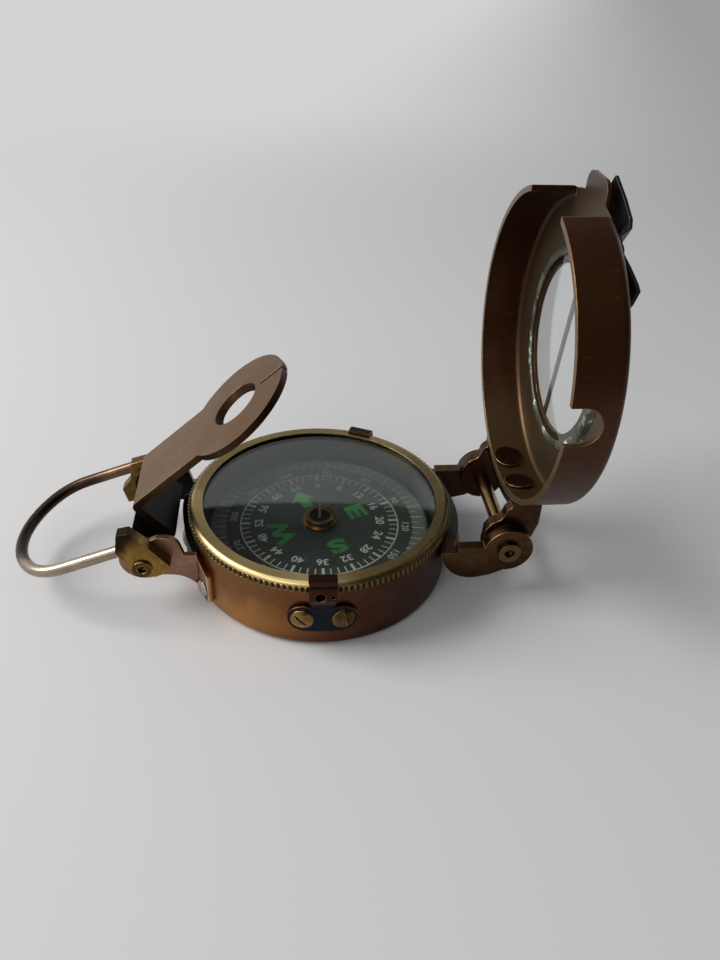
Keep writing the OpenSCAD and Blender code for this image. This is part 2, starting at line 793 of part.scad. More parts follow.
module base_outline() {
    wall_x = sqrt(pow(lid_r, 2) - pow(base_in_half_w, 2)) + plate_gap;
    lower_shares = [[1, 0.97], [0.958, 0.79], [0.889, 0.645], [0.75, 0.484], [0.514, 0.403],
                    [0.222, 0.48]];
    place = function(p) [lid_pin_x - p.x * base_reach, p.y * lid_pin_z];
    polygon(concat(
        [[lid_pin_x, lid_pin_z + base_rise], [wall_x, lid_pin_z + base_rise], [wall_x, under_lid],
         [lid_pin_x - base_reach, under_lid]],
        eased([for (p = lower_shares) place(p)]),
        [[lid_pin_x, lid_pin_z - 0.96 * base_eye_r]]
    ));
    translate([lid_pin_x, lid_pin_z]) circle(r = base_eye_r);
}

module lid_hinge_base() {
    color("saddlebrown") difference() {
        intersection() {
            side_plate(-base_half_w, base_half_w) base_outline();
            union() {
                curved_plate(0, 90, case_r + contact_gap, base_web_r, 0, under_lid);
                both_sides() translate([0, base_in_half_w, 0]) cube([2 * lid_pin_x, base_t, lid_top]);
            }
        }
        cylinder(r = case_r + contact_gap, h = lid_top);
        cross_bore(lid_pin_x, lid_pin_z, lid_pin_r + fixed_gap, base_half_w + overrun);
        for (side = [-1, 1]) radial(side * base_rivet_az(), base_rivet_z) translate([0, 0, bore_r])
            cylinder(r = rivet_shank_r + fixed_gap, h = base_web_r - bore_r + overrun);
    }
}

module lid_hinge_base_rivets() {
    color("peru") for (side = [-1, 1])
        radial(side * base_rivet_az(), base_rivet_z) translate([0, 0, base_web_r + contact_gap])
            rivet(base_web_r - bore_r);
}

module lid_hinge_pin() {
    color("goldenrod") cross_pin(lid_pin_x, lid_pin_z, lid_pin_r,
        base_half_w + contact_gap + lid_pin_head_h, lid_pin_head_r, lid_pin_head_h, lid_pin_cup_r);
}

// Lid: built shut, then opened about its hinge

module opened() {
    translate([lid_pin_x, 0, lid_pin_z]) rotate([0, lid_open, 0])
        translate([-lid_pin_x, 0, -lid_pin_z]) children();
}

module strap_outline() {
    low_shares = [[0.8, 0.03], [0.723, -0.16], [0.588, -0.2], [0.496, -0.38], [0.445, -0.62],
                  [0.3, -0.79]];
    reach = lid_pin_x - lid_r + 2 * strap_t;
    polygon(concat(
        [[lid_pin_x, lid_pin_z + 0.97 * strap_eye_r], [lid_pin_x - strap_eye_r, lid_edge + strap_h],
         [lid_in_r / 2, lid_edge + strap_h], [lid_in_r / 2, lid_edge]],
        eased([for (p = low_shares) [lid_pin_x - p.x * reach, lid_pin_z + p.y * strap_h]]),
        [[lid_pin_x, lid_pin_z - 0.97 * strap_eye_r]]
    ));
    translate([lid_pin_x, lid_pin_z]) circle(r = strap_eye_r);
}

function strap_rivet_az() = asin(strap_rivet_y / lid_in_r);

module lid_hinge_strap() {
    color("saddlebrown") opened() difference() {
        intersection() {
            side_plate(-strap_half_w, strap_half_w) strap_outline();
            union() {
                curved_plate(0, 60, lid_r + contact_gap, lid_r + strap_t, lid_edge, lid_top);
                both_sides() translate([0, strap_in_half_w, 0])
                    cube([2 * lid_pin_x, strap_ear_t, lid_top]);
            }
        }
        cylinder(r = lid_r + contact_gap, h = lid_top);
        cross_bore(lid_pin_x, lid_pin_z, lid_pin_r + running_gap, strap_half_w + overrun);
        for (side = [-1, 1]) strap_hole(side);
    }
}

module strap_hole(side) {
    radial(side * strap_rivet_az(), strap_rivet_z) translate([0, 0, bezel_r])
        cylinder(r = strap_rivet_r + fixed_gap, h = lid_gap + lid_wall + strap_t + overrun);
}

module lid_strap_rivets() {
    head_back = sqrt(pow(lid_in_r, 2) - pow(strap_rivet_head_r, 2)) - contact_gap;
    end_r = lid_r + strap_t + contact_gap;
    color("peru") opened() for (side = [-1, 1]) radial(side * strap_rivet_az(), strap_rivet_z) {
        translate([0, 0, head_back - strap_rivet_head_t])
            cylinder(r = strap_rivet_head_r, h = strap_rivet_head_t);
        translate([0, 0, head_back - strap_rivet_head_t / 2])
            cylinder(r = strap_rivet_r, h = end_r - head_back + strap_rivet_head_t);
        translate([0, 0, end_r])
            domed_fastener(rivet_head_r, rivet_head_h, rivet_dome_r, strap_rivet_r, strap_t);
    }
}

module lid_shell() {
    color("saddlebrown") opened() difference() {
        union() {
            rotate_extrude() polygon(concat(
                [[lid_in_r, lid_edge], [lid_r, lid_edge]],
                arc_points([lid_r - lid_round, lid_top - lid_round], lid_round, 0, 90),
                [[window_r, lid_top], [window_r, crown_low]],
                arc_points([lid_in_r - lid_fillet, crown_low - lid_fillet], lid_fillet, 90, 0)
            ));
            translate([0, 0, crown_low]) linear_extrude(crown_t) tab_outline();
        }
        translate([-lid_r - overrun, -rim_cut_half_w, lid_edge - overrun])
            cube([lid_r + overrun - lid_in_r + 4 * lid_wall, 2 * rim_cut_half_w, crown_low - lid_edge + overrun]);
        radial_prism(clip_az, bezel_r, lid_r + overrun) {
            translate([-notch_half_w, lid_edge - overrun])
                square([2 * notch_half_w, notch_top - notch_half_w - lid_edge + overrun]);
            translate([0, notch_top - notch_half_w]) circle(r = notch_half_w);
        }
        for (side = [-1, 1]) strap_hole(side);
        for (s = catch_rivet_w_shares) at_catch_rivet(s) translate([0, 0, crown_low - overrun])
            cylinder(r = catch_rivet_r + fixed_gap, h = crown_t + 2 * overrun);
    }
}

// Finger tab on the crown, over the gap in the rim
module tab_outline() {
    end_x = -(lid_r + tab_out);
    for (side = [-1, 1]) translate([end_x + tab_corner_r, side * (tab_half_w - tab_corner_r)])
        circle(r = tab_corner_r);
    translate([end_x, tab_corner_r - tab_half_w])
        square([tab_out + lid_round, 2 * (tab_half_w - tab_corner_r)]);
    translate([end_x + tab_corner_r, -tab_half_w]) square([tab_out + 2 * lid_round, 2 * tab_half_w]);
}

module lid_glass() {
    color("lightcyan", 0.4) opened() translate([0, 0, crown_low - lid_glass_t])
        cylinder(r = lid_glass_r, h = lid_glass_t);
}

module lid_glass_cement() {
    low = crown_low - lid_glass_t;
    color("darkseagreen") opened() rotate_extrude() polygon([
        [lid_glass_r + contact_gap, crown_low], [lid_glass_r + cement_w, crown_low],
        [lid_glass_r + cement_w / 2, low], [lid_glass_r, low - cement_t],
        [lid_glass_r - cement_over, low - cement_t],
        [lid_glass_r - cement_over - cement_t, low - contact_gap],
        [lid_glass_r + contact_gap, low - contact_gap]
    ]);
}

module sight_line() {
    half_l = window_r - sight_line_w / 2;
    color("gray") opened() rotate([0, 0, sight_line_skew])
        translate([-half_l, -sight_line_w / 2, crown_low + contact_gap])
            cube([2 * half_l, sight_line_w, sight_line_t]);
}

// Catch spring, a bent strip along the rim of the crown

module at_catch_rivet(w_share) {
    rotate([0, 0, catch_turn])
        translate([catch_rivet_l_share * catch_l - catch_foot, catch_in + w_share * catch_w, 0]) children();
}

module lid_catch_spring() {
    top = [for (p = catch_shares) [p.x * catch_l - catch_foot, lid_top + catch_t + p.y * catch_rise]];
    last = len(catch_shares) - 1;
    low = [for (i = [last:-1:0]) [top[i].x, top[i].y - catch_t + contact_gap]];
    color("black") opened() difference() {
        rotate([0, 0, catch_turn]) side_plate(catch_in, catch_in + catch_w) polygon(concat(top, low));
        for (s = catch_rivet_w_shares) at_catch_rivet(s) translate([0, 0, crown_low])
            cylinder(r = catch_rivet_r + fixed_gap, h = crown_t + catch_t + overrun);
    }
}

module lid_catch_rivets() {
    grip = crown_t + catch_t + contact_gap;
    color("dimgray") opened() for (s = catch_rivet_w_shares) at_catch_rivet(s) {
        translate([0, 0, crown_low - catch_rivet_head_h])
            cylinder(r = catch_rivet_head_r, h = catch_rivet_head_h - contact_gap);
        translate([0, 0, crown_low - catch_rivet_head_h])
            cylinder(r = catch_rivet_r, h = catch_rivet_head_h + grip);
        translate([0, 0, crown_low + grip]) cylinder(r = catch_rivet_head_r, h = catch_rivet_head_h);
    }
}

case_cup();
pivot_post();
pivot_needle();
dial_card();
dial_cap();
dial_cap_jewel();
dial_magnets();
bezel_ring();
bezel_glass();
glass_retaining_ring();
bezel_spring();
bezel_spring_screws();
rear_bezel_clip();
rear_clip_screws();
sight_bracket();
sight_bracket_rivets();
sight_bracket_screw();
sight_hinge_pin();
sight_hinge_spacers();
sight_arm();
thumb_loop();
thumb_loop_lugs();
lid_hinge_base();
lid_hinge_base_rivets();
lid_hinge_pin();
lid_hinge_strap();
lid_strap_rivets();
lid_shell();
lid_glass();
lid_glass_cement();
sight_line();
lid_catch_spring();
lid_catch_rivets();
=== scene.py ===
import math
import bpy
import numpy as np
from mathutils import Matrix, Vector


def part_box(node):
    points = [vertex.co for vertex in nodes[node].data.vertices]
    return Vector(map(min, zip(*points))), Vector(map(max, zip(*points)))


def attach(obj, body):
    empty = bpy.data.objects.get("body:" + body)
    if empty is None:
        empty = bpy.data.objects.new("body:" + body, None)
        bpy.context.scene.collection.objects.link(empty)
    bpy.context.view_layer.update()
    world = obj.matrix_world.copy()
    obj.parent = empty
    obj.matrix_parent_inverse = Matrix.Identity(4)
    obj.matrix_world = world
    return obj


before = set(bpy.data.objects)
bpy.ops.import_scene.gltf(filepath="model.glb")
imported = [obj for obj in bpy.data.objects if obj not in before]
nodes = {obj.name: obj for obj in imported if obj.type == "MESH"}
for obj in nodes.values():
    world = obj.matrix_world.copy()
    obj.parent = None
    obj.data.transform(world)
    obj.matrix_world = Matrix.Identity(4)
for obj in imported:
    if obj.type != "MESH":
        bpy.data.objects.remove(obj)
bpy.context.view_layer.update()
MM = 0.001

# The camera, fitted to the photograph: lengths in millimetres, angles in degrees. It looks at AIM
# from DISTANCE away, TURN round from the front (negative to the left) and RISE above the level.
LENS, SENSOR = 39.885, 36.0
DISTANCE, TURN, RISE, ROLL = 190.733, -6.945, 35.860, 2.739
AIM = np.array([10.383, 14.526, 10.0])
NEAR_CLIP = 0.01


# ---------------------------------------------------------------- placing and meshes

def facing(back):
    """Right, up and back axes: right is level and square to back, and up is square to both."""
    back = back / np.linalg.norm(back)
    right = np.cross([0, 0, 1], back)
    right /= np.linalg.norm(right)
    return right, np.cross(back, right), back


def stand(obj, axes, place):
    """Links an object and stands it at a place in millimetres, its axes along the three given."""
    bpy.context.collection.objects.link(obj)
    matrix = np.eye(4)
    matrix[:3, :3] = np.column_stack(axes)
    matrix[:3, 3] = place * MM
    obj.matrix_world = Matrix(matrix.tolist())


def add_camera():
    """The camera of the photograph: sines and cosines of turn and rise give the way back to it from
    the aim, and the roll turns its right and up axes round that."""
    turn, rise, roll = (math.radians(a) for a in (TURN, RISE, ROLL))
    level = math.cos(rise)
    back = np.array([math.sin(turn) * level, -math.cos(turn) * level, math.sin(rise)])
    right, up, back = facing(back)
    c, s = math.cos(roll), math.sin(roll)
    data = bpy.data.cameras.new("camera")
    data.sensor_fit = "HORIZONTAL"
    data.sensor_width = SENSOR
    data.lens = LENS
    data.clip_start = NEAR_CLIP
    obj = bpy.data.objects.new("camera", data)
    stand(obj, (right * c + up * s, up * c - right * s, back), AIM + back * DISTANCE)
    bpy.context.scene.camera = obj


def lamp(name, place, aim, size, power, colour):
    """A rectangular area lamp: place, aim and size in millimetres, power in watts."""
    data = bpy.data.lights.new(name, "AREA")
    data.shape = "RECTANGLE"
    data.size, data.size_y = size[0] * MM, size[1] * MM
    data.energy = power
    data.color = colour
    place = np.array(place, float)
    stand(bpy.data.objects.new(name, data), facing(place - np.array(aim, float)), place)


def mesh_object(name, points, faces, material):
    """An object at the origin from points in millimetres and faces of point numbers."""
    mesh = bpy.data.meshes.new(name)
    mesh.from_pydata((np.asarray(points, float) * MM).tolist(), [], faces)
    mesh.validate()
    mesh.materials.append(material)
    obj = bpy.data.objects.new(name, mesh)
    bpy.context.collection.objects.link(obj)
    return obj


# ---------------------------------------------------------------- node helpers

def lin(*rgb):
    """A colour from sRGB 0..255 to linear."""
    c = np.array(rgb) / 255.0
    return tuple(float(v) for v in np.where(c <= 0.04045, c / 12.92, ((c + 0.055) / 1.055) ** 2.4))


class Net:
    """Short calls that add nodes to a tree and join them. Values and sockets are taken alike, and
    all but node give back an output socket."""

    def __init__(self, tree):
        self.tree = tree

    def put(self, socket, value):
        """Joins a socket to an input, or sets the input's plain value."""
        if isinstance(value, bpy.types.NodeSocket):
            self.tree.links.new(value, socket)
        else:
            socket.default_value = value

    def node(self, kind, inputs=None, **settings):
        """A node with its settings made, then its inputs filled by name or number."""
        n = self.tree.nodes.new(kind)
        for key, value in settings.items():
            setattr(n, key, value)
        for key, value in (inputs or {}).items():
            self.put(n.inputs[key], value)
        return n

    def place(self, what="Object"):
        return self.node("ShaderNodeTexCoord").outputs[what]

    def noise(self, where, scale, detail=4.0, rough=0.55):
        return self.node("ShaderNodeTexNoise", {"Vector": where, "Scale": scale, "Detail": detail,
                                                "Roughness": rough}).outputs["Fac"]

    def cells(self, where, scale):
        """Distance from the middle of the nearest of many scattered cells."""
        n = self.node("ShaderNodeTexVoronoi", {"Vector": where, "Scale": scale})
        return n.outputs["Distance"]

    def math(self, how, a, b=0.0, clamp=False):
        return self.node("ShaderNodeMath", {0: a, 1: b}, operation=how, use_clamp=clamp).outputs[0]

    def plus(self, a, b):
        return self.math("ADD", a, b)

    def less(self, a, b, clamp=False):
        return self.math("SUBTRACT", a, b, clamp)

    def rest(self, a):
        """What is left of 1."""
        return self.less(1.0, a)

    def times(self, first, *others):
        """The product of all the values."""
        for value in others:
            first = self.math("MULTIPLY", first, value)
        return first

    def most(self, a, b):
        return self.math("MAXIMUM", a, b)

    def size(self, a):
        """The value without its sign."""
        return self.math("ABSOLUTE", a)

    def vector(self, how, a, b=(0, 0, 0), out=0):
        return self.node("ShaderNodeVectorMath", {0: a, 1: b}, operation=how).outputs[out]

    def dot(self, a, b):
        return self.vector("DOT_PRODUCT", a, b, "Value")

    def split(self, vector):
        return tuple(self.node("ShaderNodeSeparateXYZ", {0: vector}).outputs)

    def reach(self, x, y, z=0.0):
        """Length of the vector with these three parts."""
        parts = self.node("ShaderNodeCombineXYZ", {0: x, 1: y, 2: z}).outputs[0]
        return self.vector("LENGTH", parts, out="Value")

    def step(self, value, low, high, start=0.0, end=1.0, kind="SMOOTHSTEP"):
        """Changes from start to end while the value crosses from low to high, and holds outside."""
        return self.node("ShaderNodeMapRange", {"Value": value, "From Min": low, "From Max": high,
                                                "To Min": start, "To Max": end},
                         interpolation_type=kind).outputs[0]

    def fade(self, value, span, start=0.0, end=1.0, kind="SMOOTHSTEP"):
        """The same for a measure on the object, over a span in millimetres."""
        return self.step(value, span[0] * MM, span[1] * MM, start, end, kind)

    def dim(self, value, mask, share):
        """The value, brought down to this share of itself where the mask is 1."""
        return self.times(value, self.step(mask, 0.0, 1.0, 1.0, share))

    def wander(self, where, scale, width):
        """Noise about zero, so many millimetres wide, to make a border cloudy."""
        return self.times(self.less(self.noise(where, scale, 3.0), 0.5), width * MM)

    def mix(self, amount, a, b):
        return self.node("ShaderNodeMix", {"Factor": amount, "A": a, "B": b},
                         data_type="RGBA").outputs["Result"]

    def tone(self, mask, colour, *rgb):
        """The colour, turned to an sRGB one where the mask is 1."""
        return self.mix(mask, colour, (*lin(*rgb), 1))

    def bump(self, height, strength, rise, normal=None):
        """Relief of a height mask that rises so many millimetres, on top of a normal if given."""
        n = self.node("ShaderNodeBump",
                      {"Strength": strength, "Distance": rise * MM, "Height": height})
        if normal is not None:
            self.put(n.inputs["Normal"], normal)
        return n.outputs[0]

    def surface(self, **inputs):
        """A Principled surface, its inputs named with _ for a space."""
        named = {key.replace("_", " "): value for key, value in inputs.items()}
        return self.node("ShaderNodeBsdfPrincipled", named).outputs[0]

    def either(self, mask, first, second):
        """The first surface where the mask is 0, the second where it is 1."""
        return self.node("ShaderNodeMixShader", {0: mask, 1: first, 2: second}).outputs[0]

    def end(self, shader):
        self.node("ShaderNodeOutputMaterial", {0: shader})


def new_material(name):
    """An empty material, its net, and its Object coordinates."""
    mat = bpy.data.materials.new(name)
    mat.use_nodes = True
    mat.node_tree.nodes.clear()
    net = Net(mat.node_tree)
    return mat, net, net.place()


def new_group(name, ins, outs):
    """A node group with named sockets: rows of (name, kind, value), the value left out for none."""
    tree = bpy.data.node_groups.new(name, "ShaderNodeTree")
    kinds = {"value": "NodeSocketFloat", "colour": "NodeSocketColor", "vector": "NodeSocketVector"}
    for way, rows in (("INPUT", ins), ("OUTPUT", outs)):
        for label, kind, *value in rows:
            socket = tree.interface.new_socket(label, in_out=way, socket_type=kinds[kind])
            if value:
                socket.default_value = value[0]
    net = Net(tree)
    return tree, net, net.node("NodeGroupInput").outputs, net.node("NodeGroupOutput").inputs


# ---------------------------------------------------------------- shared effects
#
# The scale of a noise is its features per metre, and the two numbers after it are its detail and
# roughness.

def make_edges():
    """Rounded normal near sharp edges, and a patchy mask of how far the edge turns there."""
    turn, patches, least_wear = (0.01, 0.16), (0.35, 0.62), 0.35
    tree, net, i, o = new_group(
        "worn edges",
        [("Radius", "value", 0.00025), ("Wear", "value", 0.5), ("Place", "vector")],
        [("Edge", "value"), ("Normal", "vector")])
    rounded = net.node("ShaderNodeBevel", {"Radius": i["Radius"]}, samples=6).outputs[0]
    sharp = net.node("ShaderNodeNewGeometry").outputs["Normal"]
    edge = net.step(net.rest(net.dot(rounded, sharp)), *turn)
    patchy = net.step(net.noise(i["Place"], 420.0, 4.0, 0.6), *patches)
    kept = net.plus(least_wear, net.times(patchy, 1.0 - least_wear))
    net.put(o["Edge"], net.math("MULTIPLY", net.times(edge, i["Wear"]), kept, clamp=True))
    net.put(o["Normal"], rounded)
    return tree


def make_tarnish():
    """Cloudy tarnish in two sizes, fine grain, small specks and faint streaks along the object."""
    tree, net, i, o = new_group(
        "tarnish",
        [("Place", "vector"), ("Base", "colour", (0.5, 0.4, 0.2, 1)),
         ("Dark", "colour", (0.1, 0.07, 0.04, 1)), ("Tint", "colour", (0.4, 0.2, 0.1, 1)),
         ("Bright", "colour", (0.8, 0.65, 0.35, 1)), ("Edge", "value", 0.0),
         ("Amount", "value", 0.5), ("Size", "value", 1.0)],
        [("Color", "colour"), ("Dull", "value"), ("Height", "value")])
    clouds, wide_clouds, fine, specks, speckled, streaks = 75.0, 38.0, 900.0, 520.0, 160.0, 330.0
    away_from_clouds, away_from_fine = (0.37, 0.11, 0.23), (0.1, 0.4, 0.2)
    drawn_out = (1.0, 7.0, 7.0)
    p, size, edge = i["Place"], i["Size"], i["Edge"]
    cloud = net.noise(p, net.times(size, clouds), 5.0, 0.6)
    wide = net.noise(net.vector("ADD", p, away_from_clouds), net.times(size, wide_clouds), 3.0, 0.5)
    grain = net.noise(p, fine, 4.0, 0.65)
    speck = net.step(net.cells(net.vector("ADD", p, away_from_fine), specks), 0.16, 0.05)
    speck = net.times(speck, net.step(net.noise(p, speckled, 2.0), 0.5, 0.65))
    streak = net.noise(net.vector("MULTIPLY", p, drawn_out), streaks, 3.0, 0.7)
    dark = net.times(net.step(cloud, 0.36, 0.68), i["Amount"])
    colour = net.mix(net.step(wide, 0.38, 0.64), i["Base"], i["Tint"])
    for mask, over in ((dark, "Dark"), (net.step(grain, 0.3, 0.75, 0.0, 0.32), "Dark"),
                       (net.times(speck, 0.55), "Dark"),
                       (net.step(streak, 0.60, 0.74, 0.0, 0.16), "Bright"), (edge, "Bright")):
        colour = net.mix(mask, colour, i[over])
    dull = net.plus(net.times(dark, 0.6), net.times(grain, 0.4))
    net.put(o["Color"], colour)
    net.put(o["Dull"], net.less(dull, net.times(edge, 0.35), clamp=True))
    net.put(o["Height"], net.plus(net.times(grain, 0.5), net.times(streak, 0.5)))
    return tree


EDGES = make_edges()
TARNISH = make_tarnish()


# ---------------------------------------------------------------- zones by place
#
# Each takes and gives back the colour, the dullness mask and the metallic level. Spans are in
# millimetres on the part, each named after what lies there.

def shade_case(net, p, colour, dull, metallic):
    """Painted highlight low on the left and painted shade in plum on the right; plum dark at the
    bottom corner, black inside.
    """
    cup_wall, cup_floor, black = (25.7, 26.2), (0.9, 1.2), (0.012, 0.013, 0.012, 1)
    corner, corner_from = (0.2, 4.2), (-18.0, -4.0)
    wall_height, left_side, right_side = (11.5, 3.5), (-22.0, 1.0), (-6.0, 18.0)
    x, y, z = net.split(p)
    inner = net.times(net.fade(net.reach(x, y), cup_wall, 1.0, 0.0), net.fade(z, cup_floor))
    low = net.times(net.fade(z, corner, 0.55, 0.0), net.rest(inner), net.fade(x, corner_from))
    # Painted highlight: the wall brighter low on the left, where the light falls.
    left_highlight = net.fade(net.plus(z, net.wander(p, 160.0, 12.0)), wall_height, 0.25, 0.62)
    left_highlight = net.times(net.fade(x, left_side, 1.0, 0.0), left_highlight)
    colour = net.tone(left_highlight, colour, 208, 154, 86)
    # Painted shade: plum dark towards the right, away from the light.
    colour = net.tone(net.fade(x, right_side, 0.0, 0.6), colour, 50, 34, 30)
    colour = net.tone(low, colour, 48, 28, 24)
    colour = net.mix(inner, colour, black)
    return colour, net.most(dull, inner), net.times(net.rest(inner), metallic)


def shade_bezel(net, p, colour, dull, metallic):
    """Painted highlight at the front left of the top and painted shade on the right; darker on the
    sides below the top face and in the milling, and dark green at the lip beside the glass."""
    notches, rim_outside, under_top = (28.46, 28.22), (26.2, 26.6), (16.02, 15.88)
    glass_edge, under_lip, top_face = (25.6, 25.3), (16.64, 16.4), (15.7, 16.0)
    right_side, left_front = (6.0, 22.0), (-13.5, -21.5)
    x, y, z = net.split(p)
    r = net.reach(x, y)
    dark_in_milling = net.times(net.fade(r, notches), net.fade(z, under_top), net.fade(r, rim_outside), 0.92)
    lip = net.times(net.fade(r, glass_edge), net.fade(z, under_lip))
    right = net.less(x, net.times(y, 0.4))
    left = net.plus(net.times(x, 0.7), net.times(y, 0.7))
    top = net.fade(z, top_face)
    # Painted shade: darker towards the right.
    colour = net.tone(net.fade(right, right_side, 0.0, 0.6), colour, 74, 60, 38)
    # Painted highlight: brighter at the front left of the top.
    colour = net.tone(net.times(net.fade(left, left_front, 0.0, 0.6), top), colour, 244, 216, 152)
    colour = net.tone(net.step(top, 0.0, 1.0, 0.75, 0.0), colour, 104, 82, 48)
    colour = net.tone(dark_in_milling, colour, 40, 32, 18)
    colour = net.tone(lip, colour, 46, 54, 38)
    return colour, net.most(dull, dark_in_milling), metallic


def shade_bracket(net, p, colour, dull, metallic):
    """Black inside the two cheeks, for their black paint deepened by painted shade; a dark ring
    round each end rivet, pale brass strap ends.
    """
    cheek_inside, strap_end, black = (12.24, 12.4), (16.8, 17.05), (0.006, 0.005, 0.004, 1)
    rivet, rivet_ring = (-25.15, 15.42, 5.0), (2.6, 2.2)
    x, y, z = net.split(p)
    aside = net.size(y)
    inside = net.fade(aside, cheek_inside, 1.0, 0.0)
    away = net.reach(*(net.less(v, c * MM) for v, c in zip((x, aside, z), rivet)))
    # Black paint and painted shade inside the cheeks.
    colour = net.mix(inside, colour, black)
    colour = net.tone(net.fade(away, rivet_ring, 0.0, 0.85), colour, 26, 17, 13)
    colour = net.tone(net.times(net.fade(aside, strap_end), 0.85), colour, 226, 196, 150)
    return colour, net.most(dull, inside), net.dim(metallic, inside, 0.8)


def shade_arm(net, p, colour, dull, metallic):
    """Painted shade on faces turned away from the plate's top: black on the leg, cheeks and
    underside, dark brown on the side edges of plate and leg, and darker on the wall of the hole.
    Measured from the pin, along the raised plate and square to it."""
    raised, pin, hole_along = math.radians(40.9), (-36.6, 11.6), 33.38
    leg_front, leg_back, plate_under = (4.6, 4.68), (6.3, 6.2), (7.25, 7.35)
    head_from, hole_wall = (15.0, 25.0), (5.49, 5.45)
    c, s = math.cos(raised), math.sin(raised)
    x, y, z = net.split(p)
    dx, dz = net.less(x, pin[0] * MM), net.less(z, pin[1] * MM)
    along = net.plus(net.times(dx, c), net.times(dz, s))
    square = net.less(net.times(dz, c), net.times(dx, s))
    normal = net.place("Normal")
    turned_away = net.step(net.dot(normal, (-s, 0.0, c)), 0.5, 0.1)
    sideways = net.step(net.size(net.split(normal)[1]), 0.6, 0.8)
    leg = net.times(net.fade(along, leg_front), net.fade(along, leg_back))
    band = net.times(sideways, net.most(net.fade(square, plate_under), leg))
    brown = net.times(turned_away, net.most(band, net.fade(along, head_from)))
    hole = net.reach(net.less(along, hole_along * MM), y)
    brown = net.most(brown, net.fade(hole, hole_wall))
    black = net.times(turned_away, net.rest(net.math("MINIMUM", brown, 1.0)))
    # Painted shade: dark brown on turned-away side edges and the head end, and on the hole's wall.
    colour = net.tone(net.times(brown, 0.72), colour, 34, 22, 18)
    # Painted shade: black on the other faces turned away from the plate's top.
    colour = net.tone(black, colour, 11, 11, 14)
    return colour, net.most(dull, net.times(black, 0.75)), net.dim(metallic, black, 0.8)


def shade_loop(net, p, colour, dull, metallic):
    """Painted shade round the bend, and a painted highlight along the near side."""
    bend_from, off_near_side, near_side = (-44.0, -52.0), (-9.5, -6.0), (-8.5, -10.5)
    x, y, _ = net.split(p)
    bend = net.times(net.fade(x, bend_from, 0.0, 0.9), net.fade(y, off_near_side))
    # Painted shade round the bend.
    colour = net.tone(bend, colour, 52, 38, 30)
    # Painted highlight along the near side.
    colour = net.tone(net.fade(y, near_side, 0.0, 0.25), colour, 226, 214, 190)
    return colour, dull, metallic


def shade_lug(net, p, colour, dull, metallic):
    """The near lug has painted shade towards the wire and at its upper edge, with a cloudy border.
    """
    upper_edge, near_lug = (35.2, 38.5), (-10.0, -11.0)
    x, y, z = net.split(p)
    slant = net.less(net.times(z, 0.8), net.times(x, 0.6))
    lug_shade = net.fade(net.plus(slant, net.wander(p, 260.0, 6.0)), upper_edge)
    lug_shade = net.times(lug_shade, net.fade(y, near_lug))
    # Painted shade on the near lug.
    colour = net.tone(net.times(lug_shade, 0.9), colour, 30, 20, 14)
    return colour, net.most(dull, net.times(lug_shade, 0.6)), metallic


def shade_clip(net, p, colour, dull, metallic):
    """Painted dark reflection in blue-black between the two screws of the front clip and up its
    stem's foot; red on top.
    """
    clip_middle, between_screws, stem_foot = 0.9, (3.0, 3.8), (11.6, 12.4)
    front, top = (-20.0, -25.0), (15.0, 16.0)
    x, y, z = net.split(p)
    across = net.size(net.plus(x, clip_middle * MM))
    middle = net.times(net.fade(across, between_screws, 1.0, 0.0), net.fade(z, stem_foot, 1.0, 0.0),
                       net.fade(y, front))
    # Painted reflection: blue-black between the screws.
    colour = net.tone(middle, colour, 30, 32, 40)
    colour = net.tone(net.times(net.fade(z, top), 0.35), colour, 60, 30, 20)
    return colour, dull, metallic


def shade_cap(net, p, colour, dull, metallic):
    """The little post in the middle of the cap is silver, and the hollow round it dark with painted
    shade.
    """
    post_edge, hollow_edge, hollow_top = (0.34, 0.30), (2.44, 2.38), (10.68, 10.6)
    x, y, z = net.split(p)
    r = net.reach(x, y)
    post = net.fade(r, post_edge, kind="LINEAR")
    hollow = net.times(net.fade(r, hollow_edge), net.rest(post), net.fade(z, hollow_top))
    # Painted shade in the hollow.
    colour = net.tone(hollow, colour, 26, 20, 14)
    colour = net.tone(post, colour, 150, 148, 138)
    return colour, dull, net.dim(metallic, post, 0.6)


def shade_base(net, p, colour, dull, metallic):
    """Black between the two ears of the lid's bracket."""
    ears, plate_end, black = (12.6, 13.2), (27.8, 29.2), (0.007, 0.005, 0.004, 1)
    x, y, _ = net.split(p)
    inside = net.times(net.fade(net.size(y), ears, 1.0, 0.0), net.fade(x, plate_end))
    colour = net.mix(inside, colour, black)
    return colour, net.most(dull, inside), net.times(net.rest(inside), metallic)


def shade_spindle(net, p, colour, dull, metallic):
    """The spread heads of the lid's pin are browner than the shaft between them."""
    heads = (11.5, 12.5)
    head = net.fade(net.size(net.split(p)[1]), heads, 0.0, 0.85)
    return net.tone(head, colour, 74, 58, 40), net.most(dull, net.times(head, 0.5)), metallic


def shade_lid(net, p, colour, dull, metallic):
    """Reddish above and olive at the foot, grey-olive inside the crown, brass on the rim's edge."""
    crown, rim_edge, foot, upper = (42.5, 43.5), (41.2, 40.5), (34.0, 22.0), (40.0, 58.0)
    x, _, z = net.split(p)
    ahead = net.step(net.split(net.place("Normal"))[0], -0.92, -0.75, 1.0, 0.0)
    inner = net.times(ahead, net.fade(x, crown))
    rim = net.times(ahead, net.fade(x, rim_edge))
    red = net.times(net.fade(z, upper, 0.0, 0.45), net.step(net.noise(p, 60.0, 3.0), 0.35, 0.65))
    colour = net.tone(net.fade(z, foot, 0.0, 0.4), colour, 104, 88, 56)
    colour = net.tone(red, colour, 84, 34, 14)
    colour = net.tone(net.times(inner, 0.65), colour, 80, 70, 54)
    colour = net.tone(net.times(rim, 0.6), colour, 128, 104, 72)
    return colour, net.dim(dull, rim, 0.5), metallic


# ---------------------------------------------------------------- finishes

METAL_RELIEF = 0.15, 0.05     # strength, and rise in millimetres
GRAIN_RISE = 0.02
FINE_GRAIN = 900.0
GLASS_IOR = 1.5


